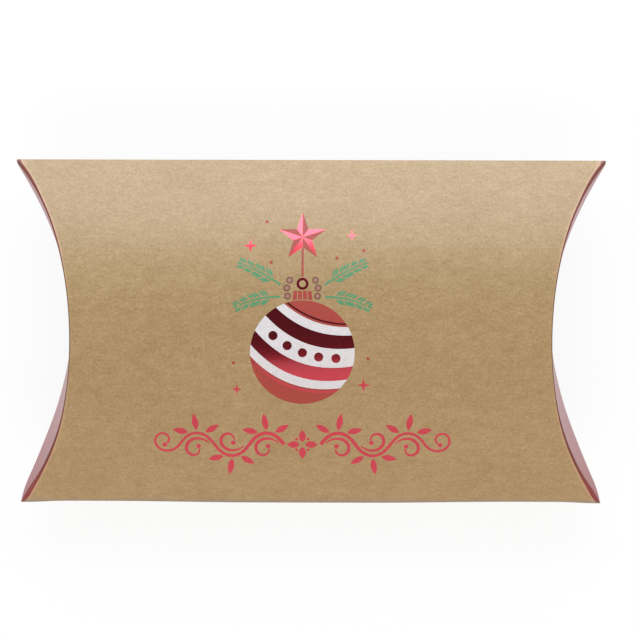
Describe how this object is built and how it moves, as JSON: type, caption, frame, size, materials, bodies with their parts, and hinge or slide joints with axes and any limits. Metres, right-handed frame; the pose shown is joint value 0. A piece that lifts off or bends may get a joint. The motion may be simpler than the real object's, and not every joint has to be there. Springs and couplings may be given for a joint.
{
  "type": "pillow box",
  "caption": "Closed pillow box of folded kraft board with bowed front and back panels, curved end creases and tucked end flaps that fold out.",
  "frame": {"origin": "under the middle of the box, on the surface that the back panel rests on", "axes": "+X along the box from end to end, +Y from the glued seam fold to the plain fold, +Z from the back panel to the front panel"},
  "size_m": [0.2028, 0.1186, 0.04],
  "materials": {
    "kraft_board": "uncoated brown kraft board with fibres and flecks",
    "printed_board": "kraft board printed red on the outside",
    "glue": "dried film of white glue"
  },
  "bodies": {
    "box": {"front_panel": "kraft_board", "back_panel": "kraft_board", "glue_tab": "kraft_board", "glue_line": "glue"},
    "right_outer": {"right_outer_flap": "printed_board"},
    "right_inner": {"right_inner_flap": "printed_board"},
    "left_outer": {"left_outer_flap": "printed_board"},
    "left_inner": {"left_inner_flap": "printed_board"}
  },
  "joints": [
    {"name": "right_outer_crease", "type": "hinge", "parent": "box", "child": "right_outer", "pos_m": [0.0807, 0, 0.04], "axis": [0, -1, 0], "range_deg": [0, 100]},
    {"name": "right_inner_crease", "type": "hinge", "parent": "box", "child": "right_inner", "pos_m": [0.07995, 0, 0], "axis": [0, 1, 0], "range_deg": [0, 60]},
    {"name": "left_outer_crease", "type": "hinge", "parent": "box", "child": "left_outer", "pos_m": [-0.0807, 0, 0.04], "axis": [0, 1, 0], "range_deg": [0, 100]},
    {"name": "left_inner_crease", "type": "hinge", "parent": "box", "child": "left_inner", "pos_m": [-0.07995, 0, 0], "axis": [0, -1, 0], "range_deg": [0, 60]}
  ],
  "couplings": [
    {"joint": "right_inner_crease", "follows": "right_outer_crease", "ratio": 0.6},
    {"joint": "left_inner_crease", "follows": "left_outer_crease", "ratio": 0.6}
  ]
}
